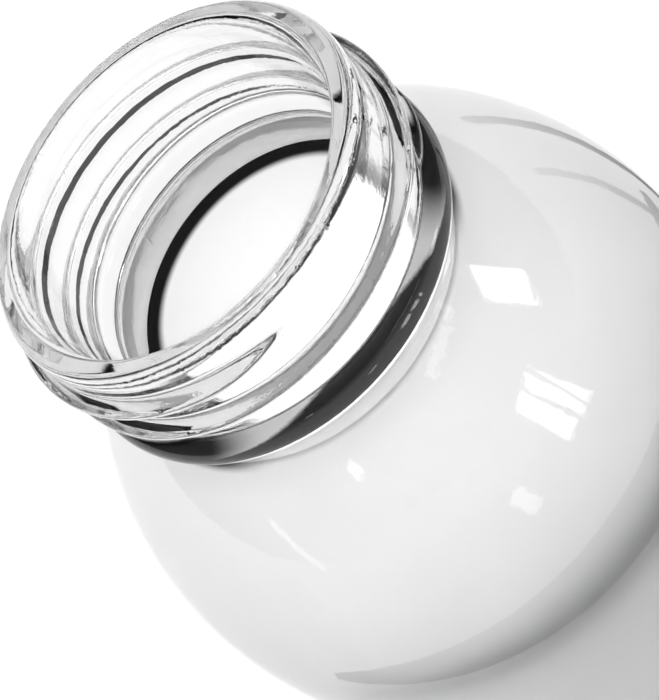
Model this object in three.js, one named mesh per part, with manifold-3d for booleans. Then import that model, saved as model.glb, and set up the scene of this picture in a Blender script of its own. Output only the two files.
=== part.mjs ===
// Glass milk bottle with a continuous-thread mouth, filled with milk, and its screw
// cap taken off and laid upside down beside it. Millimetres, +Z up, the table is z = 0.
import * as THREE from 'three';
import { mergeVertices } from 'three/addons/utils/BufferGeometryUtils.js';
import Module from 'manifold-3d';

const wasm = await Module();
wasm.setup();

// ---- bottle, overall ----
const BOTTLE_HEIGHT = 205;      // table to the top of the lip
const BODY_R = 41.1;            // outside of the round body
const SHOULDER_DROP = 63.4;     // top of the lip down to where the shoulder turns upright
const SHOULDER_ARC = 61.1;      // radius of the shoulder's dome, in section
const WALL = 2.8;               // side wall of the body

// ---- base ----
const HEEL_R = 7;               // rounding between the side and the bearing ring
const RING_WIDTH = 3.5;         // flat ring that the bottle stands on
const PUSH_UP = 7;              // height of the hollow under the base
const BASE_THICK = 5;           // glass above the hollow

// ---- mouth and neck ----
const LIP_R = 22.1;             // outside of the lip and of the wall under the thread
const LAND_IN = LIP_R - 2.1;    // inner edge of the flat sealing land
const LAND_OUT = LIP_R - 1.2;   // outer edge of the flat sealing land
const LIP_ROUND = 1.7;          // height of the lip's inner and outer roundings
const MOUTH_R = LIP_R - 3.2;    // bore just under the lip
const THROAT_R = LIP_R - 4.2;   // bore at the foot of the neck
const THROAT_DROP = 22.9;       // top of the lip down to the foot of the straight bore
const THROAT_ROUND = 3;         // rounding where the bore opens into the shoulder
const BEAD_DROP = 16.4;         // top of the lip down to the middle of the ring bead
const BEAD_ROUND = 2.35;        // section radius of the ring bead
const BEAD_OUT = LIP_R + 1.95;  // outside of the ring bead
const NECK_R = LIP_R + 0.2;     // neck under the bead
const NECK_FILLET = 2;          // where the neck runs into the shoulder

// ---- thread ----
const PITCH = 5.4;              // one turn
const TURNS = 1.83;             // length of the single-start, right-hand thread
const THREAD_DEPTH = 1.65;      // height above the wall
const THREAD_WIDTH = 3.1;       // width at its foot
const THREAD_DROP = 4.1;        // top of the lip down to the thread's first end
const THREAD_START = -97;       // direction of the first end, degrees from +X
const THREAD_FADE = 24;         // degrees over which each end dies out
const THREAD_SINK = 0.6;        // how deep the thread's root reaches into the wall

// ---- milk ----
const FILL_DROP = 22.6;         // top of the lip down to the milk's surface
const MILK_GAP = 0.3;           // clearance between milk and glass

// ---- cap ----
const CAP_WALL = 1.5;           // skirt
const CAP_TOP = 1.6;            // top panel
const CAP_HEIGHT = 15.2;        // outside height
const CAP_CLEAR = 0.35;         // skirt to the bottle's thread, and thread to the lip wall
const CAP_ROUND = 1.2;          // edge between the top and the skirt
const RIB_COUNT = 48;           // grip ribs round the skirt
const RIB_HEIGHT = 0.45;        // how far a rib stands out
const CAP_THREAD_WIDTH = 1.7;   // foot of the cap's inner thread
const CAP_TURNS = 1.25;         // length of the cap's inner thread
const LINER_THICK = 1.1;        // sealing disc
const LINER_GAP = 0.3;          // clearance round the sealing disc
const CAP_DISTANCE = 16;        // free table between the bottle and the cap

const SEGMENTS = 48;            // sides of every round piece
const DEG = Math.PI / 180;

// ---- sizes that follow ----
const shoulderZ = BOTTLE_HEIGHT - SHOULDER_DROP;
const domeR = BODY_R - SHOULDER_ARC;
const innerR = BODY_R - WALL;
const threadR = LIP_R + THREAD_DEPTH;
const capInnerR = threadR + CAP_CLEAR;
const capOuterR = capInnerR + CAP_WALL;
const capThreadDepth = capInnerR - LIP_R - CAP_CLEAR;
const capReach = capOuterR + RIB_HEIGHT;
const capX = BODY_R + CAP_DISTANCE + capReach;
const linerR = capInnerR - capThreadDepth - LINER_GAP;

const point = (r, z) => new THREE.Vector2(r, z);

/** Points on an arc about (r, z), from one angle to another, both ends included. */
function arc(r, z, radius, from, to, steps) {
  const points = [];
  for (let i = 0; i <= steps; i++) {
    const a = (from + ((to - from) * i) / steps) * DEG;
    points.push(point(r + radius * Math.cos(a), z + radius * Math.sin(a)));
  }
  return points;
}

/** Points on a quarter ellipse about (r, z) with half-axes a and b. */
function quarter(r, z, a, b, from, to, steps) {
  return arc(0, 0, 1, from, to, steps).map((p) => point(r + a * p.x, z + b * p.y));
}

/** Rounding of radius f between the upright line at r = lineR and an arc, outside both. */
function fillet(lineR, arcR, arcZ, radius, f, steps) {
  const centreR = lineR + f;
  const rise = Math.sqrt((radius + f) ** 2 - (centreR - arcR) ** 2);
  const lean = Math.atan2(-rise, arcR - centreR) / DEG;
  return arc(centreR, arcZ + rise, f, -180, lean, steps);
}

/** Angle, seen from the arc's middle, at which that rounding meets the arc. */
function filletAngle(lineR, arcR, radius, f) {
  return Math.acos((lineR + f - arcR) / (radius + f)) / DEG;
}

/** The inner dome: an arc upright at the side wall that passes under the throat. */
function innerDome() {
  const topR = THROAT_R + THROAT_ROUND * 0.5;
  const rise = SHOULDER_DROP - THROAT_DROP - THROAT_ROUND;
  const inward = innerR - topR;
  const radius = (rise ** 2 + inward ** 2) / (2 * inward);
  return { radius, centreR: innerR - radius };
}

/** Outer outline of the glass, from the lip's land down to the bearing ring. */
function outerOutline() {
  const top = BOTTLE_HEIGHT;
  const beadR = BEAD_OUT - BEAD_ROUND;
  const beadStart = Math.acos((LIP_R - beadR) / BEAD_ROUND) / DEG;
  const beadEnd = Math.acos((NECK_R - beadR) / BEAD_ROUND) / DEG;
  const domeTop = filletAngle(NECK_R, domeR, SHOULDER_ARC, NECK_FILLET);
  return [
    ...quarter(LAND_OUT, top - LIP_ROUND, LIP_R - LAND_OUT, LIP_ROUND, 90, 0, 4),
    ...arc(beadR, top - BEAD_DROP, BEAD_ROUND, beadStart, -beadEnd, 8),
    ...fillet(NECK_R, domeR, shoulderZ, SHOULDER_ARC, NECK_FILLET, 3),
    ...arc(domeR, shoulderZ, SHOULDER_ARC, domeTop, 0, 10).slice(1),
    ...arc(BODY_R - HEEL_R, HEEL_R, HEEL_R, 0, -90, 5),
    point(BODY_R - HEEL_R - RING_WIDTH, 0),
  ];
}

/** Underside of the base, from the bearing ring up to the middle of the hollow. */
function pushUpOutline() {
  const edge = BODY_R - HEEL_R - RING_WIDTH;
  return quarter(0, 0, edge, PUSH_UP, 0, 90, 5).slice(1);
}

/** Inner wall, or a skin at a gap inside it, from the middle of the base up to the lip. */
function innerOutline(gap) {
  const top = BOTTLE_HEIGHT;
  const dome = innerDome();
  const floorZ = PUSH_UP + BASE_THICK;
  const edge = innerR - HEEL_R;
  const sag = PUSH_UP * 0.7;
  const radius = dome.radius - gap;
  const throatR = THROAT_R - gap;
  const round = THROAT_ROUND + gap;
  const mouthTop = filletAngle(throatR, dome.centreR, radius, round);
  const throat = fillet(throatR, dome.centreR, shoulderZ, radius, round, 3);
  return [
    point(0, floorZ + gap),
    ...quarter(0, floorZ - sag + gap, edge, sag, 90, 0, 4).slice(1, 4),
    ...arc(edge, floorZ - sag + HEEL_R, HEEL_R - gap, -90, 0, 4),
    point(innerR - gap, shoulderZ),
    ...arc(dome.centreR, shoulderZ, radius, 0, mouthTop, 9).slice(1),
    ...throat.reverse(),
    point(MOUTH_R - gap, top - LIP_ROUND * 2),
  ];
}

/** Closed body of revolution about Z. The outline starts and ends on the axis. */
function turned(outline, sides = SEGMENTS) {
  return closedSolid(new THREE.LatheGeometry(outline, sides).rotateX(Math.PI / 2));
}

/** Drops all but the positions, merges shared vertices and makes a solid of it. */
function closedSolid(geometry) {
  geometry.deleteAttribute('normal');
  geometry.deleteAttribute('uv');
  const merged = mergeVertices(geometry, 1e-3);
  return new wasm.Manifold(new wasm.Mesh({
    numProp: 3,
    vertProperties: new Float32Array(merged.attributes.position.array),
    triVerts: new Uint32Array(faces(merged)),
  }));
}

/** Triangles with three different corners, which leaves out the slivers on the axis. */
function faces(geometry) {
  const index = geometry.index.array;
  const kept = [];
  for (let i = 0; i < index.length; i += 3) {
    const [a, b, c] = [index[i], index[i + 1], index[i + 2]];
    if (a !== b && b !== c && c !== a) kept.push(a, b, c);
  }
  return kept;
}

/** The solid's vertices and triangles as a three.js geometry. */
function toGeometry(solid) {
  const mesh = solid.getMesh();
  const geometry = new THREE.BufferGeometry();
  const positions = new Float32Array(mesh.vertProperties);
  geometry.setAttribute('position', new THREE.BufferAttribute(positions, 3));
  geometry.setIndex(new THREE.BufferAttribute(new Uint32Array(mesh.triVerts), 1));
  geometry.computeVertexNormals();
  return geometry;
}

/**
 * Screw ridge. It starts at topZ and falls by one pitch a turn, clockwise from above.
 * side is 1 for a ridge that stands outwards and -1 for one that stands inwards.
 */
function ridge({ wallR, depth, width, turns, topZ, start, side }) {
  const sections = Math.round(turns * SEGMENTS);
  const positions = [];
  const index = [];
  const shape = [[-0.5, -THREAD_SINK], [-0.5, 0], [-0.36, 0.62], [-0.13, 0.97],
    [0.13, 0.97], [0.36, 0.62], [0.5, 0], [0.5, -THREAD_SINK]];
  for (let i = 0; i <= sections; i++) {
    const swept = (i / sections) * turns * 360;
    const toEnd = Math.min(swept, turns * 360 - swept);
    const swell = Math.sin(Math.min(1, toEnd / THREAD_FADE + 0.04) * 90 * DEG);
    const a = (start - swept) * DEG;
    const z = topZ - (swept / 360) * PITCH;
    for (const [along, out] of shape) {
      const height = out < 0 ? out : out * depth * swell;
      const r = wallR + side * height;
      const half = 0.35 + 0.65 * swell;
      positions.push(r * Math.cos(a), r * Math.sin(a), z + along * width * half);
    }
  }
  const ring = shape.length;
  for (let i = 0; i < sections; i++) {
    for (let k = 0; k < ring; k++) {
      const a = i * ring + k;
      const b = i * ring + ((k + 1) % ring);
      index.push(a, b, b + ring, a, b + ring, a + ring);
    }
  }
  for (let k = 1; k < ring - 1; k++) {
    const last = sections * ring;
    index.push(0, k + 1, k, last, last + k, last + k + 1);
  }
  const flipped = side > 0 ? index : index.map((_, i, all) => all[i - (i % 3) + 2 - (i % 3)]);
  return new wasm.Manifold(new wasm.Mesh({
    numProp: 3,
    vertProperties: new Float32Array(positions),
    triVerts: new Uint32Array(flipped),
  }));
}

/** Glass: lip, thread, ring bead, neck, shoulder, body and base in one moulding. */
function bottleGlass() {
  const lipInside = quarter(LAND_IN, BOTTLE_HEIGHT - LIP_ROUND * 2,
    LAND_IN - MOUTH_R, LIP_ROUND * 2, 180, 90, 4);
  const outline = [
    ...innerOutline(0).slice(0, -1),
    ...lipInside,
    ...outerOutline(),
    ...pushUpOutline(),
  ];
  const thread = ridge({
    wallR: LIP_R,
    depth: THREAD_DEPTH,
    width: THREAD_WIDTH,
    turns: TURNS,
    topZ: BOTTLE_HEIGHT - THREAD_DROP,
    start: THREAD_START,
    side: 1,
  });
  return turned(outline.reverse()).add(thread);
}

/** Milk: fills the glass up to the foot of the bore. */
function milkBody() {
  const surface = BOTTLE_HEIGHT - FILL_DROP;
  const inside = innerOutline(MILK_GAP).slice(0, -1).filter((p) => p.y < surface);
  const outline = [...inside, point(THROAT_R - MILK_GAP, surface), point(0, surface)];
  return turned(outline);
}

/** Cap shell, mouth up: top panel on the table, ribbed skirt and inner thread. */
function capShell() {
  const outline = [
    point(0, 0),
    ...quarter(capOuterR - CAP_ROUND, CAP_ROUND, CAP_ROUND, CAP_ROUND, -90, 0, 3),
    point(capOuterR, CAP_HEIGHT),
    point(capInnerR, CAP_HEIGHT),
    point(capInnerR, CAP_TOP),
    point(0, CAP_TOP),
  ];
  const geometry = new THREE.LatheGeometry(outline, RIB_COUNT * 2).rotateX(Math.PI / 2);
  raiseRibs(geometry.attributes.position);
  const thread = ridge({
    wallR: capInnerR,
    depth: capThreadDepth,
    width: CAP_THREAD_WIDTH,
    turns: CAP_TURNS,
    topZ: CAP_HEIGHT - CAP_THREAD_WIDTH,
    start: 0,
    side: -1,
  });
  return closedSolid(geometry).add(thread);
}

/** Moves every second line of the skirt's outside outwards, which makes the grip ribs. */
function raiseRibs(place) {
  for (let i = 0; i < place.count; i++) {
    const [x, y] = [place.getX(i), place.getY(i)];
    const r = Math.hypot(x, y);
    const step = Math.round((Math.atan2(y, x) / Math.PI) * RIB_COUNT);
    if (step % 2 !== 0 || r < capOuterR - 1e-3) continue;
    place.setX(i, x * (1 + RIB_HEIGHT / r));
    place.setY(i, y * (1 + RIB_HEIGHT / r));
  }
}

/** Liner: the sealing disc inside the cap's top panel. */
function capLiner() {
  const low = CAP_TOP + LINER_GAP;
  const high = low + LINER_THICK;
  return turned([point(0, low), point(linerR, low), point(linerR, high), point(0, high)]);
}

/** A named piece with its own material. */
function piece(name, solid, colour, roughness, metalness, extra = {}) {
  const material = new THREE.MeshStandardMaterial({ color: colour, roughness, metalness, ...extra });
  const mesh = new THREE.Mesh(toGeometry(solid), material);
  mesh.name = name;
  return mesh;
}

const bottle = new THREE.Group();
bottle.add(
  piece('bottle_glass', bottleGlass(), 0xe9efee, 0.04, 0, { transparent: true, opacity: 0.35 }),
  piece('milk', milkBody(), 0xf4f2ec, 0.45, 0),
);

const cap = new THREE.Group();
cap.position.x = capX;
cap.add(
  piece('cap_shell', capShell(), 0xf2f2ef, 0.4, 0),
  piece('cap_liner', capLiner(), 0xdedcd4, 0.7, 0),
);

// The origin is under the middle of the overall box, so bottle and cap share the offset.
const assembly = new THREE.Group();
assembly.position.x = (BODY_R - (capX + capReach)) / 2;
assembly.add(bottle, cap);

export default assembly;
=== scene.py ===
"""A clear glass milk bottle, full of milk, with its screw cap laid upside down beside it.

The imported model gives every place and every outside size. The glass, the milk and the
cap are then made again as fine meshes in the same places, dressed, lit and framed.
"""

import logging
import math
from dataclasses import dataclass
from enum import Enum

import bpy
import numpy as np
from mathutils import Matrix, Vector


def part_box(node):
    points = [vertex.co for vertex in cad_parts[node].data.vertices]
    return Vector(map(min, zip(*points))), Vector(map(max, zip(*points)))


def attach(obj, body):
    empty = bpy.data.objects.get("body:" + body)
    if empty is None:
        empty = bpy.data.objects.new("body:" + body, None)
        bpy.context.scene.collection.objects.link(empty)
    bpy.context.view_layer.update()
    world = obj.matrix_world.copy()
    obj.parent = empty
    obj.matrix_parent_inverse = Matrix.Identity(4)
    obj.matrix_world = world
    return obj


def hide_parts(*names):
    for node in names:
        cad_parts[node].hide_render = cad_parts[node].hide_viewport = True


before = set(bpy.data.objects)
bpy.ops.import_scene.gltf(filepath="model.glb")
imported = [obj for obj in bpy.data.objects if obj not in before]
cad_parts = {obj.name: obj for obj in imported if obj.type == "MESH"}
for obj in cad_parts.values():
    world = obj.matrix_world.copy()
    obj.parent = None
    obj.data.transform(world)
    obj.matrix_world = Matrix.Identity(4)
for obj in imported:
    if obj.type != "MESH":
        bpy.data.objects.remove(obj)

MM = 0.001

logging.basicConfig(level=logging.INFO, format="%(name)s: %(message)s")
log = logging.getLogger("milk-bottle")


# ---------------------------------------------------------------- outlines and meshes


def arc(r: float, z: float, radius: float, start: float, end: float, steps: int) -> list:
    """Points on an arc in the (radius, height) plane, with arguments as in oval."""
    return oval(r, z, radius, radius, start, end, steps)


def oval(
    r: float, z: float, a: float, b: float, start: float, end: float, steps: int
) -> list:
    """Points on part of an ellipse in the (radius, height) plane.

    Args:
        r: Distance of the ellipse's middle from the axis.
        z: Height of the ellipse's middle.
        a: Half-axis across.
        b: Half-axis along the height.
        start: First angle, in degrees.
        end: Last angle, in degrees.
        steps: Number of steps between them.

    Returns:
        The points as (r, z) pairs, both ends included.
    """
    angles = np.radians(np.linspace(start, end, steps + 1))
    return [(r + a * math.cos(t), z + b * math.sin(t)) for t in angles]


def straight(a: tuple, b: tuple, steps: int) -> list:
    """Points on the line from a to b, both ends included."""
    return [tuple(p) for p in np.linspace(a, b, steps + 1)]


def without_doubles(points: list, least: float = 1e-4) -> np.ndarray:
    """The outline with repeated points dropped.

    Args:
        points: (r, z) pairs in millimetres.
        least: Smallest step that is kept, in millimetres.

    Returns:
        An array of (r, z) rows.
    """
    kept = [points[0]]
    for p in points[1:]:
        if math.dist(p, kept[-1]) > least:
            kept.append(p)
    return np.array(kept, float)


def turned_mesh(
    name: str,
    points: list,
    axis_x: float,
    sides: int,
    material: bpy.types.Material,
    reach=None,
) -> bpy.types.Object:
    """A closed body of revolution, its ends on the axis.

    Args:
        name: The object's name.
        points: (r, z) pairs in millimetres. The first and last lie on the axis.
        axis_x: Where the axis stands along X, in metres.
        sides: Number of sides.
        material: The finish.
        reach: Optional function of (radius, height, angle) arrays that gives the radius.

    Returns:
        The new object, smooth shaded.
    """
    outline = without_doubles(points)
    angle = np.linspace(0.0, 2.0 * math.pi, sides, endpoint=False)
    rows = outline[1:-1]
    radius, turn = np.meshgrid(rows[:, 0], angle, indexing="ij")
    height = np.repeat(rows[:, 1:2], sides, axis=1)
    if reach is not None:
        radius = reach(radius, height, turn)
    x = radius * np.cos(turn) * MM + axis_x
    y = radius * np.sin(turn) * MM
    places = np.stack([x, y, height * MM], axis=2).reshape(-1, 3)
    ends = [(axis_x, 0.0, outline[0, 1] * MM), (axis_x, 0.0, outline[-1, 1] * MM)]
    mesh = new_mesh(name, [*map(tuple, places), *ends], revolved_faces(len(rows), sides), material)
    if signed_volume(mesh) < 0.0:
        mesh.flip_normals()
    mesh.shade_smooth()
    return new_object(name, mesh)


def revolved_faces(rows: int, sides: int) -> list:
    """Faces of a closed body of revolution whose two pole points come last."""
    first, last = rows * sides, rows * sides + 1
    faces = []
    for i in range(rows - 1):
        for k in range(sides):
            n = (k + 1) % sides
            faces.append((i * sides + k, i * sides + n, (i + 1) * sides + n, (i + 1) * sides + k))
    for k in range(sides):
        n = (k + 1) % sides
        faces.append((first, n, k))
        faces.append((last, (rows - 1) * sides + k, (rows - 1) * sides + n))
    return faces


def new_mesh(
    name: str, points: list, faces: list, material: bpy.types.Material
) -> bpy.types.Mesh:
    """A mesh of points in metres and faces, with one finish."""
    mesh = bpy.data.meshes.new(name)
    mesh.from_pydata(points, [], faces)
    mesh.update()
    mesh.materials.append(material)
    return mesh


def new_object(name: str, data) -> bpy.types.Object:
    """An object of a mesh or a camera, put in the scene."""
    obj = bpy.data.objects.new(name, data)
    bpy.context.scene.collection.objects.link(obj)
    return obj


def settle(obj: bpy.types.Object, body: str, node: str = "") -> bpy.types.Object:
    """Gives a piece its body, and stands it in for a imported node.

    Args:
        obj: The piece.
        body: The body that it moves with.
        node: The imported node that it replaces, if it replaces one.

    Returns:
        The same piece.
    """
    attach(obj, body)
    if node:
        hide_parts(node)
    log.info("%s: %d faces", obj.name, len(obj.data.polygons))
    return obj


def outer_box(node: str) -> tuple:
    """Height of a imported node's top, its radius and its axis, from its box.

    Args:
        node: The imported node's name.

    Returns:
        The top and the radius in millimetres, and the axis's X in metres.
    """
    low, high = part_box(node)
    return high.z / MM, (high.x - low.x) / 2.0 / MM, (high.x + low.x) / 2.0


def signed_volume(mesh: bpy.types.Mesh) -> float:
    """Volume inside the mesh, negative if its faces point inwards."""
    mesh.calc_loop_triangles()
    count = len(mesh.loop_triangles)
    corners = np.zeros(count * 3, np.int32)
    mesh.loop_triangles.foreach_get("vertices", corners)
    place = np.zeros(len(mesh.vertices) * 3)
    mesh.vertices.foreach_get("co", place)
    tri = place.reshape(-1, 3)[corners.reshape(-1, 3)]
    return float(np.einsum("ij,ij->i", tri[:, 0], np.cross(tri[:, 1], tri[:, 2])).sum() / 6.0)


# ---------------------------------------------------------------- shader helpers


def metres(pair: tuple, base: float = 0.0) -> tuple:
    """A pair of lengths in millimetres, as metres past a base."""
    return tuple(base + value * MM for value in pair)


class Shader:
    """A short way to write node trees."""

    def __init__(self, tree: bpy.types.NodeTree) -> None:
        """Keeps the tree that the nodes go into."""
        self.tree = tree

    def node(self, kind: str, **values) -> bpy.types.Node:
        """A new node.

        Args:
            kind: The node's type name.
            **values: Node properties, or sockets by name with spaces as underscores.

        Returns:
            The node.
        """
        made = self.tree.nodes.new(kind)
        for key, value in values.items():
            name = key.replace("_", " ")
            if hasattr(made, key):
                setattr(made, key, value)
            else:
                made.inputs[name].default_value = value
        return made

    def link(self, source, target) -> None:
        """Joins an output socket to an input socket."""
        self.tree.links.new(source, target)

    def math(self, operation: str, a, b=None) -> bpy.types.NodeSocket:
        """A Math node of numbers or sockets, and its output."""
        made = self.node("ShaderNodeMath", operation=operation)
        for socket, value in zip(made.inputs, (a, b)):
            if isinstance(value, bpy.types.NodeSocket):
                self.link(value, socket)
            elif value is not None:
                socket.default_value = value
        return made.outputs[0]

    def ramp(self, value, start, end, low, high) -> bpy.types.NodeSocket:
        """Smooth step of a value.

        Args:
            value: The socket that is mapped.
            start: Value at which the step begins.
            end: Value at which it ends.
            low: Result up to the start.
            high: Result from the end on.

        Returns:
            The socket that holds the result.
        """
        step = self.node(
            "ShaderNodeMapRange", interpolation_type="SMOOTHSTEP",
            From_Min=start, From_Max=end, To_Min=low, To_Max=high,
        )
        self.link(value, step.inputs["Value"])
        return step.outputs["Result"]

    def split(self, vector) -> bpy.types.NodeOutputs:
        """The X, Y and Z of a vector."""
        parts = self.node("ShaderNodeSeparateXYZ")
        self.link(vector, parts.inputs[0])
        return parts.outputs

    def surface(self, shader: bpy.types.Node) -> None:
        """Ends the tree with a shader node."""
        output = self.node("ShaderNodeOutputMaterial")
        self.link(shader.outputs[0], output.inputs["Surface"])


def empty_material(name: str) -> tuple:
    """A new material with an empty tree, and its Shader helper."""
    material = bpy.data.materials.new(name)
    material.use_nodes = True
    material.node_tree.nodes.clear()
    return material, Shader(material.node_tree)


def new_group(name: str, inputs: dict, outputs: dict) -> tuple:
    """A shader node group with named sockets.

    Args:
        name: The group's name.
        inputs: Socket names with their default numbers.
        outputs: Socket names with their socket types.

    Returns:
        The group, its Shader helper, its input node and its output node.
    """
    group = bpy.data.node_groups.new(name, "ShaderNodeTree")
    for key, value in inputs.items():
        made = group.interface.new_socket(key, in_out="INPUT", socket_type="NodeSocketFloat")
        made.default_value = value
    for key, kind in outputs.items():
        group.interface.new_socket(key, in_out="OUTPUT", socket_type=kind)
    shader = Shader(group)
    return group, shader, shader.node("NodeGroupInput"), shader.node("NodeGroupOutput")


def ripple_group() -> bpy.types.NodeTree:
    """Slow waves and fine unevenness of a moulded or liquid surface, as a height."""
    group, s, source, sink = new_group(
        "Uneven surface",
        {"Wave Scale": 60.0, "Wave Height": 1.0, "Grain Scale": 900.0, "Grain Height": 0.1},
        {"Height": "NodeSocketFloat"},
    )
    place = s.node("ShaderNodeTexCoord").outputs["Object"]
    wave = s.node("ShaderNodeTexNoise", Detail=2.0, Roughness=0.4)
    grain = s.node("ShaderNodeTexNoise", Detail=3.0, Roughness=0.6)
    for noise, key in ((wave, "Wave Scale"), (grain, "Grain Scale")):
        s.link(place, noise.inputs["Vector"])
        s.link(source.outputs[key], noise.inputs["Scale"])
    big = s.math("MULTIPLY", wave.outputs["Fac"], source.outputs["Wave Height"])
    small = s.math("MULTIPLY", grain.outputs["Fac"], source.outputs["Grain Height"])
    s.link(s.math("ADD", big, small), sink.inputs["Height"])
    return group


def mottle_group() -> bpy.types.NodeTree:
    """Soft patches between two values, for colour and roughness."""
    group, s, source, sink = new_group(
        "Soft patches",
        {"Scale": 40.0, "Low": 0.0, "High": 1.0},
        {"Value": "NodeSocketFloat"},
    )
    place = s.node("ShaderNodeTexCoord").outputs["Object"]
    noise = s.node("ShaderNodeTexNoise", Detail=4.0, Roughness=0.55)
    s.link(place, noise.inputs["Vector"])
    s.link(source.outputs["Scale"], noise.inputs["Scale"])
    mapped = s.node("ShaderNodeMapRange", From_Min=0.3, From_Max=0.7)
    s.link(noise.outputs["Fac"], mapped.inputs["Value"])
    s.link(source.outputs["Low"], mapped.inputs["To Min"])
    s.link(source.outputs["High"], mapped.inputs["To Max"])
    s.link(mapped.outputs["Result"], sink.inputs["Value"])
    return group


@dataclass(frozen=True)
class Groups:
    """The shared node groups."""

    ripple: bpy.types.NodeTree
    mottle: bpy.types.NodeTree


class Finish:
    """A material under construction: one Principled BSDF and what feeds it."""

    def __init__(self, name: str, groups: Groups) -> None:
        """Makes the material and empties its tree."""
        self.groups = groups
        self.material, self.s = empty_material(name)
        self.bsdf = self.s.node("ShaderNodeBsdfPrincipled")
        self.s.surface(self.bsdf)

    def set(self, **values) -> None:
        """Sets plain values on the shader's own sockets."""
        for key, value in values.items():
            self.bsdf.inputs[key.replace("_", " ")].default_value = value

    def group(self, tree: bpy.types.NodeTree, **values) -> bpy.types.Node:
        """Places a shared group with its own values."""
        node = self.s.node("ShaderNodeGroup")
        node.node_tree = tree
        for key, value in values.items():
            node.inputs[key.replace("_", " ")].default_value = value
        return node

    def bump(self, height, distance: float, strength: float) -> None:
        """Feeds a height, in shares of a distance in metres, into the shader's normal."""
        bump = self.s.node("ShaderNodeBump", Strength=strength, Distance=distance)
        self.s.link(height, bump.inputs["Height"])
        self.s.link(bump.outputs["Normal"], self.bsdf.inputs["Normal"])

    def grey(self, low: float, high: float, scale: float) -> None:
        """Feeds a mottled grey into the base colour."""
        patches = self.group(self.groups.mottle, Scale=scale, Low=low, High=high)
        self.s.link(patches.outputs["Value"], self.bsdf.inputs["Base Color"])

    def roughness(self, low: float, high: float, scale: float) -> None:
        """Feeds a mottled value into the roughness."""
        patches = self.group(self.groups.mottle, Scale=scale, Low=low, High=high)
        self.s.link(patches.outputs["Value"], self.bsdf.inputs["Roughness"])


@dataclass(frozen=True)
class FlintGlass:
    """Clear container glass: moulded outside, blown inside, with two mould seams."""

    axis_x: float
    ior: float = 1.52
    wave_scale: float = 70.0
    wave_height: float = 1.0
    grain_scale: float = 1100.0
    grain_height: float = 0.05
    seam_angle: float = -72.0
    seam_half_width: float = 0.3 * MM
    seam_height: float = 0.1
    bump_depth: float = 0.2 * MM

    def build(self, groups: Groups) -> bpy.types.Material:
        """Makes the material."""
        made = Finish("clear_flint_glass", groups)
        made.set(IOR=self.ior, Transmission_Weight=1.0, Metallic=0.0)
        made.grey(0.9, 0.935, 90.0)
        made.roughness(0.0, 0.012, 220.0)
        uneven = made.group(
            groups.ripple,
            Wave_Scale=self.wave_scale,
            Wave_Height=self.wave_height,
            Grain_Scale=self.grain_scale,
            Grain_Height=self.grain_height,
        )
        height = made.s.math("ADD", uneven.outputs["Height"], self.seam(made.s))
        made.bump(height, self.bump_depth, 1.0)
        return made.material

    def seam(self, s: Shader) -> bpy.types.NodeSocket:
        """Height of the two mould seams, upright lines on opposite sides."""
        place = s.node("ShaderNodeTexCoord").outputs["Object"]
        centred = s.node("ShaderNodeMapping")
        centred.inputs["Location"].default_value = (-self.axis_x, 0.0, 0.0)
        s.link(place, centred.inputs["Vector"])
        part = s.split(centred.outputs["Vector"])
        turn = math.radians(self.seam_angle)
        across = s.math(
            "SUBTRACT",
            s.math("MULTIPLY", part["X"], math.sin(turn)),
            s.math("MULTIPLY", part["Y"], math.cos(turn)),
        )
        near = s.math("DIVIDE", s.math("ABSOLUTE", across), self.seam_half_width)
        fall = s.math("SUBTRACT", 1.0, near)
        return s.math("MULTIPLY", s.math("MAXIMUM", fall, 0.0), self.seam_height)


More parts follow.
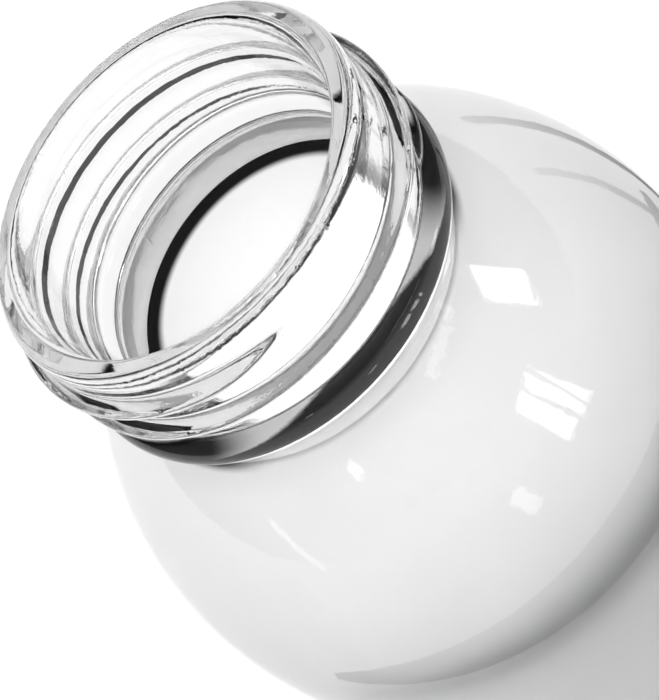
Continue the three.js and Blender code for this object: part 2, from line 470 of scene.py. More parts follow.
@dataclass(frozen=True)
class Milk:
    """Whole milk: opaque, white, with a wet surface.

    The lengths of the painted shade mask are in millimetres. Radii are from the bottle's axis,
    heights from the milk's surface, and distances along Y are negative on the side of the camera.
    """

    axis_x: float
    surface_z: float
    low: float = 0.93
    high: float = 0.955
    # Painted shade: the near-black grey that the milk's colour is mixed to where the neck would
    # shade it.
    painted_shade_grey: float = 0.012
    ring_in: float = 16.0
    ring_full: float = 17.2
    film_foot: float = 1.2
    film_tilt: float = 8.0
    film_start: float = -0.5
    film_full: float = -0.1
    flank_near: tuple = (-14.0, -8.0)
    flank_far: tuple = (6.0, 12.0)
    flank_foot: tuple = (-12.0, -8.0)
    flank_edge: tuple = (19.4, 20.4)
    bump_depth: float = 0.03 * MM

    def shaded(self, s: Shader) -> bpy.types.NodeSocket:
        """Mask of painted shade on the milk, where the neck would shade it.

        It is the edge that climbs the bore, and a flank just under the neck, both painted
        dark as the neck's shade.

        Args:
            s: The tree's helper.

        Returns:
            A value from 0, open milk, to 1, full painted shade.
        """
        part = s.split(s.node("ShaderNodeTexCoord").outputs["Object"])
        across = s.math("SUBTRACT", part["X"], self.axis_x)
        square = s.math(
            "ADD", s.math("MULTIPLY", across, across), s.math("MULTIPLY", part["Y"], part["Y"])
        )
        radius = s.math("SQRT", square)
        inner = s.ramp(radius, self.ring_in * MM, self.ring_full * MM, 0.0, 1.0)
        tilt = self.film_tilt * MM
        side = s.ramp(part["Y"], -tilt, tilt, self.film_foot * MM, 0.0)
        rise = s.math("SUBTRACT", part["Z"], s.math("ADD", side, self.surface_z))
        high = s.ramp(rise, self.film_start * MM, self.film_full * MM, 0.0, 1.0)
        near = s.ramp(part["Y"], *metres(self.flank_near), 0.0, 1.0)
        far = s.ramp(part["Y"], *metres(self.flank_far), 1.0, 0.0)
        edge = s.ramp(radius, *metres(self.flank_edge), 1.0, 0.0)
        foot = s.ramp(part["Z"], *metres(self.flank_foot, self.surface_z), 0.0, 1.0)
        flank = s.math("MULTIPLY", s.math("MULTIPLY", near, far), s.math("MULTIPLY", edge, foot))
        return s.math("MULTIPLY", s.math("MAXIMUM", high, flank), inner)

    def build(self, groups: Groups) -> bpy.types.Material:
        """Makes the material."""
        made = Finish("whole_milk", groups)
        made.set(IOR=1.35, Metallic=0.0, Specular_IOR_Level=0.2)
        made.grey(self.low, self.high, 35.0)
        s = made.s
        colour = made.bsdf.inputs["Base Color"]
        open_milk = colour.links[0].from_socket
        # Painted shade: the milk's colour is mixed towards a near-black grey inside the shade
        # mask.
        mix = s.node("ShaderNodeMix", data_type="RGBA")
        s.link(self.shaded(s), mix.inputs[0])
        s.link(open_milk, mix.inputs[6])
        mix.inputs[7].default_value = (self.painted_shade_grey, self.painted_shade_grey, self.painted_shade_grey, 1.0)
        s.link(mix.outputs[2], colour)
        made.roughness(0.25, 0.4, 60.0)
        uneven = made.group(
            groups.ripple, Wave_Scale=90.0, Wave_Height=1.0, Grain_Scale=1500.0, Grain_Height=0.03
        )
        made.bump(uneven.outputs["Height"], self.bump_depth, 0.6)
        return made.material


@dataclass(frozen=True)
class CapPlastic:
    """White moulded polypropylene with a faint spark-eroded grain."""

    low: float = 0.78
    high: float = 0.84
    bump_depth: float = 0.04 * MM

    def build(self, groups: Groups) -> bpy.types.Material:
        """Makes the material."""
        made = Finish("cap_polypropylene", groups)
        made.set(IOR=1.49, Metallic=0.0)
        made.grey(self.low, self.high, 120.0)
        made.roughness(0.3, 0.46, 400.0)
        uneven = made.group(
            groups.ripple, Wave_Scale=300.0, Wave_Height=0.3, Grain_Scale=4200.0, Grain_Height=0.7
        )
        made.bump(uneven.outputs["Height"], self.bump_depth, 0.8)
        return made.material


@dataclass(frozen=True)
class LinerFoam:
    """Closed-cell foam: matt, with fine cells."""

    low: float = 0.62
    high: float = 0.72
    cell_scale: float = 2600.0
    bump_depth: float = 0.08 * MM

    def build(self, groups: Groups) -> bpy.types.Material:
        """Makes the material."""
        made = Finish("liner_foam", groups)
        made.set(IOR=1.45, Metallic=0.0)
        made.grey(self.low, self.high, 260.0)
        made.roughness(0.6, 0.8, 500.0)
        s = made.s
        place = s.node("ShaderNodeTexCoord").outputs["Object"]
        cells = s.node("ShaderNodeTexVoronoi", Scale=self.cell_scale)
        s.link(place, cells.inputs["Vector"])
        made.bump(cells.outputs["Distance"], self.bump_depth, 0.7)
        return made.material


# ---------------------------------------------------------------- the bottle


@dataclass(frozen=True)
class Thread:
    """A single-start, right-hand screw ridge, in millimetres and degrees."""

    top_z: float
    depth: float = 1.65
    width: float = 3.1
    crest: float = 0.12
    thin_end: float = 0.3
    pitch: float = 5.4
    turns: float = 1.83
    start: float = -97.0
    fade: float = 24.0
    fade_power: float = 0.8

    def height(self, z: np.ndarray, turn: np.ndarray) -> np.ndarray:
        """Height of the ridge above the wall.

        Args:
            z: Heights, in millimetres.
            turn: Angles about the axis, in radians.

        Returns:
            The ridge's height at each place, in millimetres.
        """
        high = np.zeros_like(z)
        since = np.mod(self.start - np.degrees(turn), 360.0)
        total = self.turns * 360.0
        for lap in range(int(self.turns) + 2):
            gone = since + 360.0 * lap
            inside = gone <= total
            to_end = np.clip(np.minimum(gone, total - gone), 0.0, None)
            swell = np.sin(np.clip(to_end / self.fade, 0.0, 1.0) * math.pi / 2.0)
            swell = swell**self.fade_power
            half = self.width / 2.0 * (self.thin_end + (1.0 - self.thin_end) * swell)
            away = np.abs(z - (self.top_z - gone / 360.0 * self.pitch)) / half
            share = np.clip((away - self.crest) / (1.0 - self.crest), 0.0, 1.0)
            rise = 1.0 - share * share * (3.0 - 2.0 * share)
            high = np.maximum(high, np.where(inside, rise * swell * self.depth, 0.0))
        return high


@dataclass
class Bottle:
    """The glass and the milk. Sizes are in millimetres, heights are above the table."""

    groups: Groups
    height: float = 0.0
    body_r: float = 0.0
    axis_x: float = 0.0
    shoulder_drop: float = 63.4
    shoulder_arc: float = 61.1
    wall: float = 2.8
    heel_r: float = 7.0
    ring_width: float = 3.5
    push_up: float = 7.0
    base_thick: float = 5.0
    lip_r: float = 22.1
    land_in: float = 20.0
    land_out: float = 20.9
    lip_round: float = 1.7
    mouth_r: float = 18.9
    throat_r: float = 17.9
    throat_drop: float = 22.9
    throat_round: float = 3.0
    bead_drop: float = 16.4
    bead_round: float = 2.35
    bead_out: float = 24.05
    neck_r: float = 22.3
    neck_fillet: float = 2.0
    thread_drop: float = 4.1
    fill_drop: float = 22.6
    meniscus: float = 0.9
    # The film rises up the bore on the camera's side and carries the milk's painted shade.
    film_climb: float = 3.4
    film_side: float = 100.0
    film_fade: float = 118.0
    wetting: float = 0.06
    sides: int = 288
    milk_sides: int = 192

    def __post_init__(self) -> None:
        """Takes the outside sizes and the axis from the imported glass."""
        self.height, self.body_r, self.axis_x = outer_box("bottle_glass")

    @property
    def shoulder_z(self) -> float:
        """Height at which the shoulder turns upright."""
        return self.height - self.shoulder_drop

    @property
    def inner_r(self) -> float:
        """Inside radius of the body."""
        return self.body_r - self.wall

    def fillet(self, line_r: float, arc_r: float, radius: float, f: float, steps: int) -> list:
        """Rounding between an upright line and the shoulder's arc, outside both."""
        centre = line_r + f
        rise = math.sqrt((radius + f) ** 2 - (centre - arc_r) ** 2)
        lean = math.degrees(math.atan2(-rise, arc_r - centre))
        return arc(centre, self.shoulder_z + rise, f, -180.0, lean, steps)

    def meeting(self, line_r: float, arc_r: float, radius: float, f: float) -> float:
        """Angle, in degrees, at which that rounding meets the arc."""
        return math.degrees(math.acos((line_r + f - arc_r) / (radius + f)))

    def lip_outline(self) -> list:
        """The lip: inner rounding, land and outer rounding."""
        top = self.height
        deep = self.lip_round * 2.0
        return [
            *oval(self.land_in, top - deep, self.land_in - self.mouth_r, deep, 180, 90, 16),
            *oval(
                self.land_out, top - self.lip_round, self.lip_r - self.land_out,
                self.lip_round, 90, 0, 16,
            ),
        ]

    def outer_outline(self) -> list:
        """Outside of the glass under the lip, down to the middle of the base."""
        bead_r = self.bead_out - self.bead_round
        bead_z = self.height - self.bead_drop
        first = math.degrees(math.acos((self.lip_r - bead_r) / self.bead_round))
        last = math.degrees(math.acos((self.neck_r - bead_r) / self.bead_round))
        bead = arc(bead_r, bead_z, self.bead_round, first, -last, 40)
        dome_r = self.body_r - self.shoulder_arc
        lean = self.meeting(self.neck_r, dome_r, self.shoulder_arc, self.neck_fillet)
        foot = self.body_r - self.heel_r
        edge = foot - self.ring_width
        lip_end = (self.lip_r, self.height - self.lip_round)
        return [
            *straight(lip_end, bead[0], 62),
            *bead,
            *self.fillet(self.neck_r, dome_r, self.shoulder_arc, self.neck_fillet, 10),
            *arc(dome_r, self.shoulder_z, self.shoulder_arc, lean, 0, 56),
            *straight((self.body_r, self.shoulder_z), (self.body_r, self.heel_r), 12),
            *arc(foot, self.heel_r, self.heel_r, 0, -90, 16),
            *straight((foot, 0.0), (edge, 0.0), 3),
            *oval(0.0, 0.0, edge, self.push_up, 0, 90, 24),
        ]

    def inner_dome(self) -> tuple:
        """Radius of the shoulder's inner arc and its middle's distance from the axis."""
        top_r = self.throat_r + self.throat_round * 0.5
        rise = self.shoulder_drop - self.throat_drop - self.throat_round
        inward = self.inner_r - top_r
        radius = (rise**2 + inward**2) / (2.0 * inward)
        return radius, self.inner_r - radius

    def inner_outline(self, past: float = 0.0) -> list:
        """Inside of the glass, from the middle of the base up to the mouth.

        Args:
            past: How far the outline reaches into the glass, in millimetres.

        Returns:
            The outline's points.
        """
        radius, centre = self.inner_dome()
        floor_z = self.push_up + self.base_thick
        edge = self.inner_r - self.heel_r
        sag = self.push_up * 0.7
        lean = self.meeting(self.throat_r, centre, radius, self.throat_round)
        throat = self.fillet(self.throat_r, centre, radius, self.throat_round, 10)[::-1]
        r = self.inner_r + past
        return [
            *oval(0.0, floor_z - sag - past, edge, sag, 90, 0, 20),
            *arc(edge + past, floor_z - sag + self.heel_r - past, self.heel_r, -90, 0, 12),
            *straight((r, self.heel_r + floor_z - sag), (r, self.shoulder_z), 10),
            *arc(centre, self.shoulder_z, radius + past, 0, lean, 48),
            *[(a + past, b) for a, b in throat],
            *straight(
                (self.throat_r + past, throat[-1][1]),
                (self.mouth_r + past, self.height - self.lip_round * 2.0), 28,
            ),
        ]

    def wall_radius(self, z: float) -> float:
        """Radius that the milk reaches at a height above the shoulder's foot."""
        upper = [p for p in self.inner_outline(self.wetting) if p[1] >= self.shoulder_z]
        upper.sort(key=lambda p: p[1])
        return float(np.interp(z, [p[1] for p in upper], [p[0] for p in upper]))

    def build_glass(self) -> bpy.types.Object:
        """The glass: lip, thread, bead, neck, shoulder, body and base in one moulding."""
        outline = [*self.inner_outline(), *self.lip_outline(), *self.outer_outline()]
        thread = Thread(top_z=self.height - self.thread_drop)
        lowest = self.height - self.bead_drop - 1.0

        def reach(radius: np.ndarray, z: np.ndarray, turn: np.ndarray) -> np.ndarray:
            """The wall's radius with the ridge on the outside of the mouth."""
            outside = (radius >= self.lip_r - 0.6) & (z > lowest)
            ridge = np.where(outside, thread.height(z, turn), 0.0)
            return np.where(ridge > 0.0, np.maximum(radius, self.lip_r + ridge), radius)

        glass = FlintGlass(self.axis_x).build(self.groups)
        obj = turned_mesh("glass_body", outline, self.axis_x, self.sides, glass, reach)
        return settle(obj, "bottle", "bottle_glass")

    def build_milk(self) -> bpy.types.Object:
        """The milk, wetting the glass, with its meniscus at the foot of the neck."""
        surface = self.height - self.fill_drop
        climb = self.meniscus
        inside = [p for p in self.inner_outline(self.wetting) if p[1] < surface + climb]
        wall_r = self.wall_radius(surface + climb)
        rim = arc(wall_r - climb, surface + climb, climb, 0, -90, 14)
        outline = [*inside, *rim, *straight((wall_r - climb, surface), (0.0, surface), 20)]
        finish = Milk(self.axis_x, surface * MM).build(self.groups)
        obj = turned_mesh("milk_fill", outline, self.axis_x, self.milk_sides, finish)
        self.raise_film(obj.data, surface, wall_r)
        return settle(obj, "bottle", "milk")

    def raise_film(self, mesh: bpy.types.Mesh, surface: float, wall_r: float) -> None:
        """Draws the meniscus up the bore on the camera's side, where the milk's finish paints it
        dark as shade.

        Args:
            mesh: The milk.
            surface: Height of the milk's surface.
            wall_r: Outer radius of the meniscus.
        """
        start, full = math.radians(self.film_fade), math.radians(self.film_side)
        for vertex in mesh.vertices:
            x, y, z = vertex.co.x - self.axis_x, vertex.co.y, vertex.co.z / MM
            if z <= surface + 1e-4:
                continue
            turn = abs(math.atan2(x, -y))
            share = min(1.0, max(0.0, (start - turn) / (start - full)))
            share = share * share * (3.0 - 2.0 * share)
            lifted = surface + (z - surface) * (1.0 + share * (self.film_climb - 1.0))
            radius = math.hypot(x, y) / MM
            reached = radius + self.wall_radius(lifted) - wall_r
            vertex.co.x = self.axis_x + x * reached / radius
            vertex.co.y = y * reached / radius
            vertex.co.z = lifted * MM

    def build(self) -> None:
        """Builds the glass and the milk."""
        self.build_glass()
        self.build_milk()


# ---------------------------------------------------------------- the cap


class NodeWork:
    """A Geometry Nodes tree with named inputs, built node by node."""

    def __init__(self, name: str, inputs: dict) -> None:
        """Makes the tree.

        Args:
            name: The tree's name.
            inputs: Socket names with their default values. Whole numbers make
                integer sockets, materials make material sockets.
        """
        self.tree = bpy.data.node_groups.new(name, "GeometryNodeTree")
        kinds = {int: "NodeSocketInt", float: "NodeSocketFloat"}
        face = self.tree.interface
        face.new_socket("Geometry", in_out="OUTPUT", socket_type="NodeSocketGeometry")
        self.values = inputs
        for key, value in inputs.items():
            kind = kinds.get(type(value), "NodeSocketMaterial")
            face.new_socket(key, in_out="INPUT", socket_type=kind)
        self.source = self.tree.nodes.new("NodeGroupInput")
        self.sink = self.tree.nodes.new("NodeGroupOutput")

    def node(self, kind: str, links: dict = None, **values) -> bpy.types.Node:
        """A new node, with its sockets joined or set.

        Args:
            kind: The node's type name.
            links: Input names with the sockets or values that feed them.
            **values: Node properties.

        Returns:
            The node.
        """
        made = self.tree.nodes.new(kind)
        for key, value in values.items():
            setattr(made, key, value)
        for key, value in (links or {}).items():
            target = made.inputs[key]
            if isinstance(value, bpy.types.NodeSocket):
                self.tree.links.new(value, target)
            else:
                target.default_value = value
        return made

    def math(self, operation: str, a, b=0.0) -> bpy.types.NodeSocket:
        """A Math node and its output."""
        return self.node("ShaderNodeMath", {0: a, 1: b}, operation=operation).outputs[0]

    def bake(self, name: str, geometry: bpy.types.NodeSocket, z) -> bpy.types.Object:
        """Ends the tree, evaluates it and gives the result as a plain mesh object.

        Args:
            name: The object's name.
            geometry: The tree's last geometry, before it is moved, realised and dressed.
            z: The socket that says how high the geometry goes.

        Returns:
            The new object, with no modifier.
        """
        shift = self.node("ShaderNodeCombineXYZ", {"X": self.source.outputs["Axis X"], "Z": z})
        moved = self.node("GeometryNodeTransform", {
            "Geometry": geometry, "Translation": shift.outputs[0],
        })
        real = self.node("GeometryNodeRealizeInstances", {"Geometry": moved.outputs[0]})
        dressed = self.node(
            "GeometryNodeSetMaterial",
            {"Geometry": real.outputs[0], "Material": self.source.outputs["Material"]},
        )
        self.tree.links.new(dressed.outputs[0], self.sink.inputs["Geometry"])
        carrier = new_object(name + "_tree", bpy.data.meshes.new(name + "_tree"))
        modifier = carrier.modifiers.new("nodes", "NODES")
        modifier.node_group = self.tree
        for item in self.tree.interface.items_tree:
            if item.in_out == "INPUT" and item.name in self.values:
                modifier[item.identifier] = self.values[item.name]
        graph = bpy.context.evaluated_depsgraph_get()
        mesh = bpy.data.meshes.new_from_object(carrier.evaluated_get(graph))
        mesh.name = name
        bpy.data.objects.remove(carrier)
        mesh.shade_smooth()
        return new_object(name, mesh)


@dataclass
class Cap:
    """The screw cap, mouth up on the table. Sizes are in millimetres."""

    groups: Groups
    axis_x: float = 0.0
    height: float = 0.0
    reach: float = 0.0
    wall: float = 1.5
    panel: float = 1.6
    hollow_r: float = 15.0
    hollow_deep: float = 0.25
    edge_round: float = 1.2
    lip_round: float = 0.35
    corner_round: float = 0.8
    liner_gap: float = 2.0
    rib_count: int = 96
    rib_height: float = 0.45
    thread_width: float = 1.7
    thread_turns: float = 1.25
    pitch: float = 5.4
    bottle_thread_r: float = 23.75
    clearance: float = 0.35
    sides: int = 192
    liner_sides: int = 144

    def __post_init__(self) -> None:
        """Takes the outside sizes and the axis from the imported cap."""
        self.height, self.reach, self.axis_x = outer_box("cap_shell")

    @property
    def inner_r(self) -> float:
        """Inside radius of the skirt."""
        return self.bottle_thread_r + self.clearance

    @property
    def outer_r(self) -> float:
        """Outside radius of the skirt between its ribs."""
        return self.reach - self.rib_height

    def build_shell(self, material: bpy.types.Material) -> bpy.types.Object:
        """Top panel and skirt, with rounded edges and a raised lining ring."""
        edge, lip, corner = self.edge_round, self.lip_round, self.corner_round
        top = self.height
        foot = self.panel + corner
        outline = [
            (0.0, self.hollow_deep),
            *straight((self.hollow_r, self.hollow_deep), (self.hollow_r + 0.4, 0.0), 3),
            *arc(self.outer_r - edge, edge, edge, -90, 0, 10),
            *straight((self.outer_r, edge), (self.outer_r, top - lip), 4),
            *arc(self.outer_r - lip, top - lip, lip, 0, 90, 6),
            *arc(self.inner_r + lip, top - lip, lip, 90, 180, 6),
            *straight((self.inner_r, top - lip), (self.inner_r, foot), 4),
            *arc(self.inner_r - corner, foot, corner, 0, -90, 6),
            (self.inner_r - self.liner_gap, self.panel),
            (0.0, self.panel),
        ]
        return turned_mesh("cap_body", outline, self.axis_x, self.sides, material)

    def build_ribs(self, material: bpy.types.Material) -> bpy.types.Object:
        """Grip ribs: one rounded bar repeated round the skirt."""
        low, high = self.edge_round + 0.6, self.height - 1.6
        work = NodeWork("Ribs round a skirt", {
            "Count": self.rib_count,
            "Radius": (self.outer_r - 0.08) * MM,
            "Rib Radius": self.rib_height * MM,
            "Length": (high - low) * MM,
            "Bottom": low * MM,
            "Axis X": self.axis_x,
            "Material": material,
        })
        src = work.source.outputs
        ring = work.node("GeometryNodeCurvePrimitiveCircle", {
            "Resolution": src["Count"], "Radius": src["Radius"],
        })
        line = work.node("GeometryNodeMeshCylinder", {
            "Vertices": 10, "Radius": src["Rib Radius"], "Depth": src["Length"],
        })
        line.inputs["Side Segments"].default_value = 3
        seats = work.node("GeometryNodeCurveToPoints", {
            "Curve": ring.outputs["Curve"],
        }, mode="EVALUATED")
        placed = work.node("GeometryNodeInstanceOnPoints", {
            "Points": seats.outputs["Points"], "Instance": line.outputs["Mesh"],
        })
        middle = work.math("ADD", src["Bottom"], work.math("MULTIPLY", src["Length"], 0.5))
        return work.bake("cap_grip_ribs", placed.outputs[0], middle)

    def build_thread(self, material: bpy.types.Material) -> bpy.types.Object:
        """The inner screw ridge: a rounded section carried along a spiral."""
        low = self.height - self.thread_width * 1.2 - self.thread_turns * self.pitch
        work = NodeWork("Ridge on a spiral", {
            "Turns": self.thread_turns,
            "Radius": self.inner_r * MM,
            "Rise": self.thread_turns * self.pitch * MM,
            "Half Width": self.thread_width * 0.5 * MM,
            "Bottom": low * MM,
            "Axis X": self.axis_x,
            "Material": material,
        })
        src = work.source.outputs
        spiral = work.node("GeometryNodeCurveSpiral", {
            "Resolution": 96, "Rotations": src["Turns"], "Start Radius": src["Radius"],
            "End Radius": src["Radius"], "Height": src["Rise"],
        })
        spiral.inputs["Reverse"].default_value = False
        section = work.node("GeometryNodeCurvePrimitiveCircle", {
            "Resolution": 12, "Radius": src["Half Width"],
        })
        along = work.node("GeometryNodeSplineParameter").outputs["Factor"]
        from_end = work.math("MINIMUM", along, work.math("SUBTRACT", 1.0, along))
        swell = work.node("ShaderNodeMapRange", {
            "Value": from_end, "From Min": 0.0, "From Max": 0.07, "To Min": 0.25, "To Max": 1.0,
        }).outputs["Result"]
        ridge = work.node("GeometryNodeCurveToMesh", {
            "Curve": spiral.outputs["Curve"],
            "Profile Curve": section.outputs["Curve"],
            "Scale": swell,
            "Fill Caps": True,
        })
        return work.bake("cap_inner_thread", ridge.outputs[0], src["Bottom"])

    def build_liner(self) -> bpy.types.Object:
        """The sealing disc, with the ring that the bottle's lip has pressed into it."""
        low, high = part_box("cap_liner")
        z0, z1 = low.z / MM, high.z / MM
        r = (high.x - low.x) / 2.0 / MM
        dent_r, dent_width, dent_deep = 21.6, 2.0, 0.16
        outline = [
            (0.0, z0), (r - 0.2, z0), (r, z0 + 0.2), (r, z1 - 0.25), (r - 0.25, z1),
            *[
                (dent_r - dent_width * t, z1 - dent_deep * math.sin(math.pi * t) ** 2)
                for t in np.linspace(0.0, 1.0, 13)
            ],
            *straight((19.0, z1), (0.0, z1), 12),
        ]
        foam = LinerFoam().build(self.groups)
        return turned_mesh("cap_liner_disc", outline, self.axis_x, self.liner_sides, foam)

    def build(self) -> None:
        """Builds the shell, ribs, thread and liner."""
        plastic = CapPlastic().build(self.groups)
        settle(self.build_shell(plastic), "cap", "cap_shell")
        settle(self.build_ribs(plastic), "cap")
        settle(self.build_thread(plastic), "cap")
        settle(self.build_liner(), "cap", "cap_liner")


# ---------------------------------------------------------------- studio


def stage_mesh(
    name: str, points: list, faces: list, material: bpy.types.Material
) -> bpy.types.Object:
    """A plain piece of the studio, which is no part of the object.

    Args:
        name: The piece's name.
        points: Its corners, in metres.
        faces: Its faces.
        material: Its material.

    Returns:
        The new object.
    """
    obj = new_object(name, new_mesh(name, points, faces, material))
    return obj


def glow_material(name: str, strength: float) -> bpy.types.Material:
    """A glow that is seen and mirrored but lights no matt surface. Strength 0 is black."""
    material, s = empty_material(name)
    glow = s.node("ShaderNodeEmission", Strength=0.0)
    if strength > 0.0:
        depth = s.node("ShaderNodeLightPath").outputs["Diffuse Depth"]
        share = s.math("LESS_THAN", depth, 0.5)
        s.link(s.math("MULTIPLY", share, strength), glow.inputs["Strength"])
    s.surface(glow)
    return material


class CardKind(Enum):
    """What a studio card does."""

    LIGHT = "light"
    BLACK = "black"


@dataclass(frozen=True)
class Card:
    """A flat studio card, turned towards a point of the bottle.

    Azimuth 0 is the side the camera stands on and 90 is +X; elevation is in degrees.
    """

    name: str
    kind: CardKind
    azimuth: float
    elevation: float
    distance: float
    width: float
    height: float
    strength: float = 1.0
    roll: float = 0.0

    def build(self, aim: Vector) -> bpy.types.Object:
        """Makes the card.

        Args:
            aim: The point that the card faces.

        Returns:
            The card's object.
        """
        a, e = math.radians(self.azimuth), math.radians(self.elevation)
        out = Vector((math.sin(a) * math.cos(e), -math.cos(a) * math.cos(e), math.sin(e)))
        turn = (-out).to_track_quat("-Z", "Y").to_matrix()
        turn = turn @ Matrix.Rotation(math.radians(self.roll), 3, "Z")
        half = ((-1, -1), (1, -1), (1, 1), (-1, 1))
        points = [
            aim + out * self.distance + turn @ Vector((x * self.width / 2, y * self.height / 2, 0))
            for x, y in half
        ]
        strength = 0.0 if self.kind is CardKind.BLACK else self.strength
        obj = stage_mesh(self.name, points, [(0, 1, 2, 3)], glow_material(self.name, strength))
        obj.visible_camera = False
        obj.visible_shadow = False
        return obj


@dataclass(frozen=True)
class Flag:
    """A bent black strip in front of the bottle that keeps low light off a band of it."""

    radius: float = 42.0
    drop_top: float = 47.0
    drop_foot: float = 54.5
    first: float = -56.0
    last: float = 75.0
    steps: int = 40
    blunt: float = 0.02
    taper_power: float = 0.6

    def build(self, axis_x: float, top_z: float) -> bpy.types.Object:
        """Makes the strip.

        Args:
            axis_x: The bottle's axis, metres.
            top_z: The bottle's top, metres.

        Returns:
            The strip's object.
        """
        r = self.radius * MM
        middle = (self.drop_top + self.drop_foot) / 2.0
        points = []
        for drop in (self.drop_top, self.drop_foot):
            for i in range(self.steps + 1):
                along = i / self.steps
                a = math.radians(self.first + (self.last - self.first) * along)
                inward = self.blunt + (1.0 - 2.0 * self.blunt) * along
                taper = math.sin(math.pi * inward) ** self.taper_power
                z = top_z - (middle + (drop - middle) * taper) * MM
                points.append((axis_x + r * math.sin(a), -r * math.cos(a), z))
        n = self.steps + 1
        faces = [(i, i + 1, n + i + 1, n + i) for i in range(self.steps)]
        obj = stage_mesh("flag", points, faces, glow_material("flag_cloth", 0.0))
        obj.visible_camera = False
        return obj


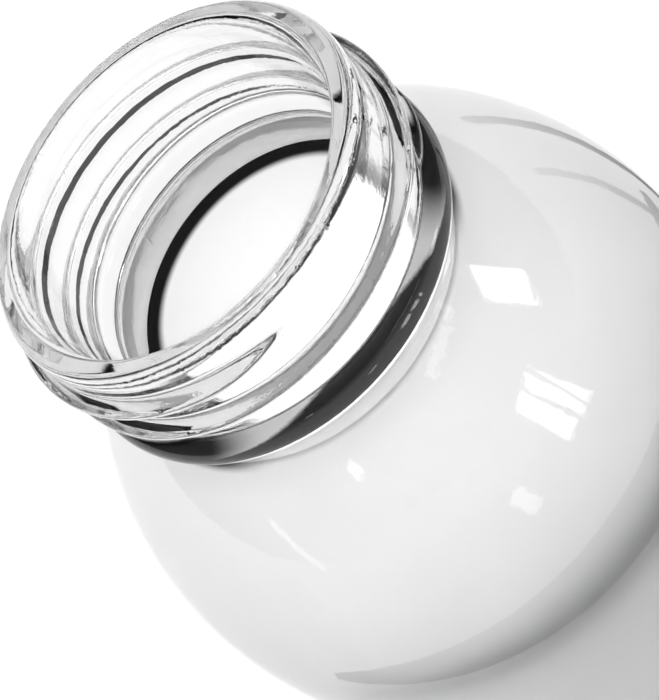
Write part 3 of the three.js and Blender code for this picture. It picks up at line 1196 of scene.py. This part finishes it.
@dataclass(frozen=True)
class Studio:
    """Floor, surrounding light, cards and camera.

    The floor and the surrounding light have one strength where they are seen, also
    through glass, and one where they light a matt surface.
    """

    bottle: Bottle
    floor_half: float = 6.0
    glow_seen: float = 1.12
    floor_glow: float = 0.62
    floor_grey: float = 0.4
    bare_share: float = 0.42
    floor_bounce: float = 0.1
    sky_seen: float = 0.05
    glow_low: float = -0.7
    glow_high: float = 0.1
    glow_tilt: float = 0.7
    key_way: tuple = (-0.05, -0.15, 0.987)
    key_focus: float = 2.2
    key_strength: float = 4.9
    fill_strength: float = 0.24
    aim_near: float = 25.0 * MM
    aim_drop: float = 30.0 * MM
    camera_back: float = 101.76 * MM
    camera_up: float = 83.64 * MM
    plane_drop: float = 0.45 * MM
    lens: float = 66.813
    forward: tuple = (-0.01611923, 0.64641565, -0.76281517)
    right: tuple = (0.64499585, -0.57623207, -0.50193321)

    def build_floor(self) -> None:
        """A wide pale floor at the height the bottle stands on."""
        half = self.floor_half
        points = [(-half, -half, 0.0), (half, -half, 0.0), (half, half, 0.0), (-half, half, 0.0)]
        material, s = empty_material("pale_floor")
        glow = s.node("ShaderNodeEmission")
        s.link(self.by_bounce(s, self.floor_glow, self.floor_bounce), glow.inputs["Strength"])
        matt = s.node("ShaderNodeBsdfDiffuse")
        grey = self.glazed(s, self.floor_grey, self.floor_grey * self.bare_share)
        s.link(self.by_bounce(s, grey, 0.0), matt.inputs["Color"])
        both = s.node("ShaderNodeAddShader")
        s.link(glow.outputs[0], both.inputs[0])
        s.link(matt.outputs[0], both.inputs[1])
        s.surface(both)
        stage_mesh("floor", points, [(0, 1, 2, 3)], material)

    def by_bounce(self, s: Shader, seen, lit) -> bpy.types.NodeSocket:
        """One strength for what is seen, also through glass, and one for what it lights.

        Args:
            s: The tree's helper.
            seen: Strength before any matt surface is met.
            lit: Strength after one.

        Returns:
            The socket that holds the strength.
        """
        depth = s.node("ShaderNodeLightPath").outputs["Diffuse Depth"]
        share = s.math("GREATER_THAN", depth, 0.5)
        level = self.glazed(s, self.bare_share, 1.0)
        first = s.math("MULTIPLY", s.math("SUBTRACT", 1.0, share), seen)
        second = s.math("MULTIPLY", s.math("MULTIPLY", share, level), lit)
        return s.math("ADD", first, second)

    def glazed(self, s: Shader, bare: float, behind: float) -> bpy.types.NodeSocket:
        """One number for a path that has met no glass and one for a path that has.

        Args:
            s: The tree's helper.
            bare: The number without glass.
            behind: The number behind glass.

        Returns:
            The socket that holds the number.
        """
        through = s.node("ShaderNodeLightPath").outputs["Transmission Depth"]
        inside = s.math("GREATER_THAN", through, 0.5)
        return s.math("ADD", s.math("MULTIPLY", inside, behind - bare), bare)

    def build_world(self) -> None:
        """The surrounding light.

        What the glass mirrors is white low down on the near side and dim overhead. What
        lights the milk is strongest from overhead.
        """
        world = bpy.data.worlds.new("studio")
        bpy.context.scene.world = world
        world.use_nodes = True
        s = Shader(world.node_tree)
        way = s.node("ShaderNodeTexCoord").outputs["Generated"]
        part = s.split(way)
        slope = s.math("ADD", part["Z"], s.math("MULTIPLY", part["Y"], self.glow_tilt))
        seen = s.ramp(slope, self.glow_low, self.glow_high, self.glow_seen, self.sky_seen)
        facing = s.node("ShaderNodeVectorMath", operation="DOT_PRODUCT")
        s.link(way, facing.inputs[0])
        facing.inputs[1].default_value = self.key_way
        toward = s.math("POWER", s.math("MAXIMUM", facing.outputs["Value"], 0.0), self.key_focus)
        lit = s.math("ADD", s.math("MULTIPLY", toward, self.key_strength), self.fill_strength)
        back = world.node_tree.nodes["Background"]
        back.inputs["Color"].default_value = (1.0, 1.0, 1.0, 1.0)
        s.link(self.by_bounce(s, seen, lit), back.inputs["Strength"])

    def cards(self) -> list:
        """The studio's cards."""
        return [
            Card("window_side", CardKind.LIGHT, 59.0, 16.0, 0.5, 0.10, 0.13, 7.0, 12.0),
            Card("pane_left", CardKind.LIGHT, 22.5, 0.5, 0.5, 0.055, 0.15, 7.0, 6.0),
            Card("pane_right", CardKind.LIGHT, 31.5, 0.0, 0.5, 0.065, 0.15, 7.0, 6.0),
            Card("far_pane", CardKind.LIGHT, -3.0, -7.5, 0.5, 0.05, 0.06, 4.0, 20.0),
            Card("small_pane", CardKind.LIGHT, -40.5, 23.4, 0.5, 0.03, 0.035, 5.0, 30.0),
            Card("tube", CardKind.LIGHT, -74.5, 3.0, 0.5, 0.012, 0.15, 3.0, 45.0),
            Card("strip_high", CardKind.LIGHT, 27.0, 32.5, 0.5, 0.25, 0.02, 2.5, 0.0),
            Card("flag_back", CardKind.BLACK, 128.0, -29.0, 0.17, 0.012, 0.12, 1.0, 4.0),
            Card("flag_side", CardKind.BLACK, 108.0, -25.0, 0.17, 0.008, 0.11, 1.0, 8.0),
        ]

    def build_camera(self) -> None:
        """The camera, close above the mouth and rolled."""
        data = bpy.data.cameras.new("camera")
        data.lens = self.lens
        data.sensor_width = 36.0
        data.sensor_fit = "AUTO"
        data.clip_start = 0.004
        camera = new_object("camera", data)
        forward = Vector(self.forward).normalized()
        right = Vector(self.right).normalized()
        upward = right.cross(forward).normalized()
        turn = Matrix((right, upward, -forward)).transposed().to_4x4()
        z = self.bottle.height * MM - self.plane_drop + self.camera_up
        place = Vector((self.bottle.axis_x, -self.camera_back, z))
        camera.matrix_world = Matrix.Translation(place) @ turn
        bpy.context.scene.camera = camera

    def build(self) -> None:
        """Builds the studio."""
        self.build_floor()
        self.build_world()
        top_z = self.bottle.height * MM
        aim = Vector((self.bottle.axis_x, -self.aim_near, top_z - self.aim_drop))
        for card in self.cards():
            card.build(aim)
        Flag().build(self.bottle.axis_x, top_z)
        self.build_camera()
        scene = bpy.context.scene
        scene.view_settings.view_transform = "Standard"
        scene.view_settings.look = "None"
        log.info("studio built with %d cards", len(self.cards()))


def main() -> None:
    """Builds the bottle, the cap and the studio, in that order."""
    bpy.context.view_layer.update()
    groups = Groups(ripple=ripple_group(), mottle=mottle_group())
    bottle = Bottle(groups)
    bottle.build()
    Cap(groups).build()
    Studio(bottle).build()


if __name__ == "__main__":
    main()
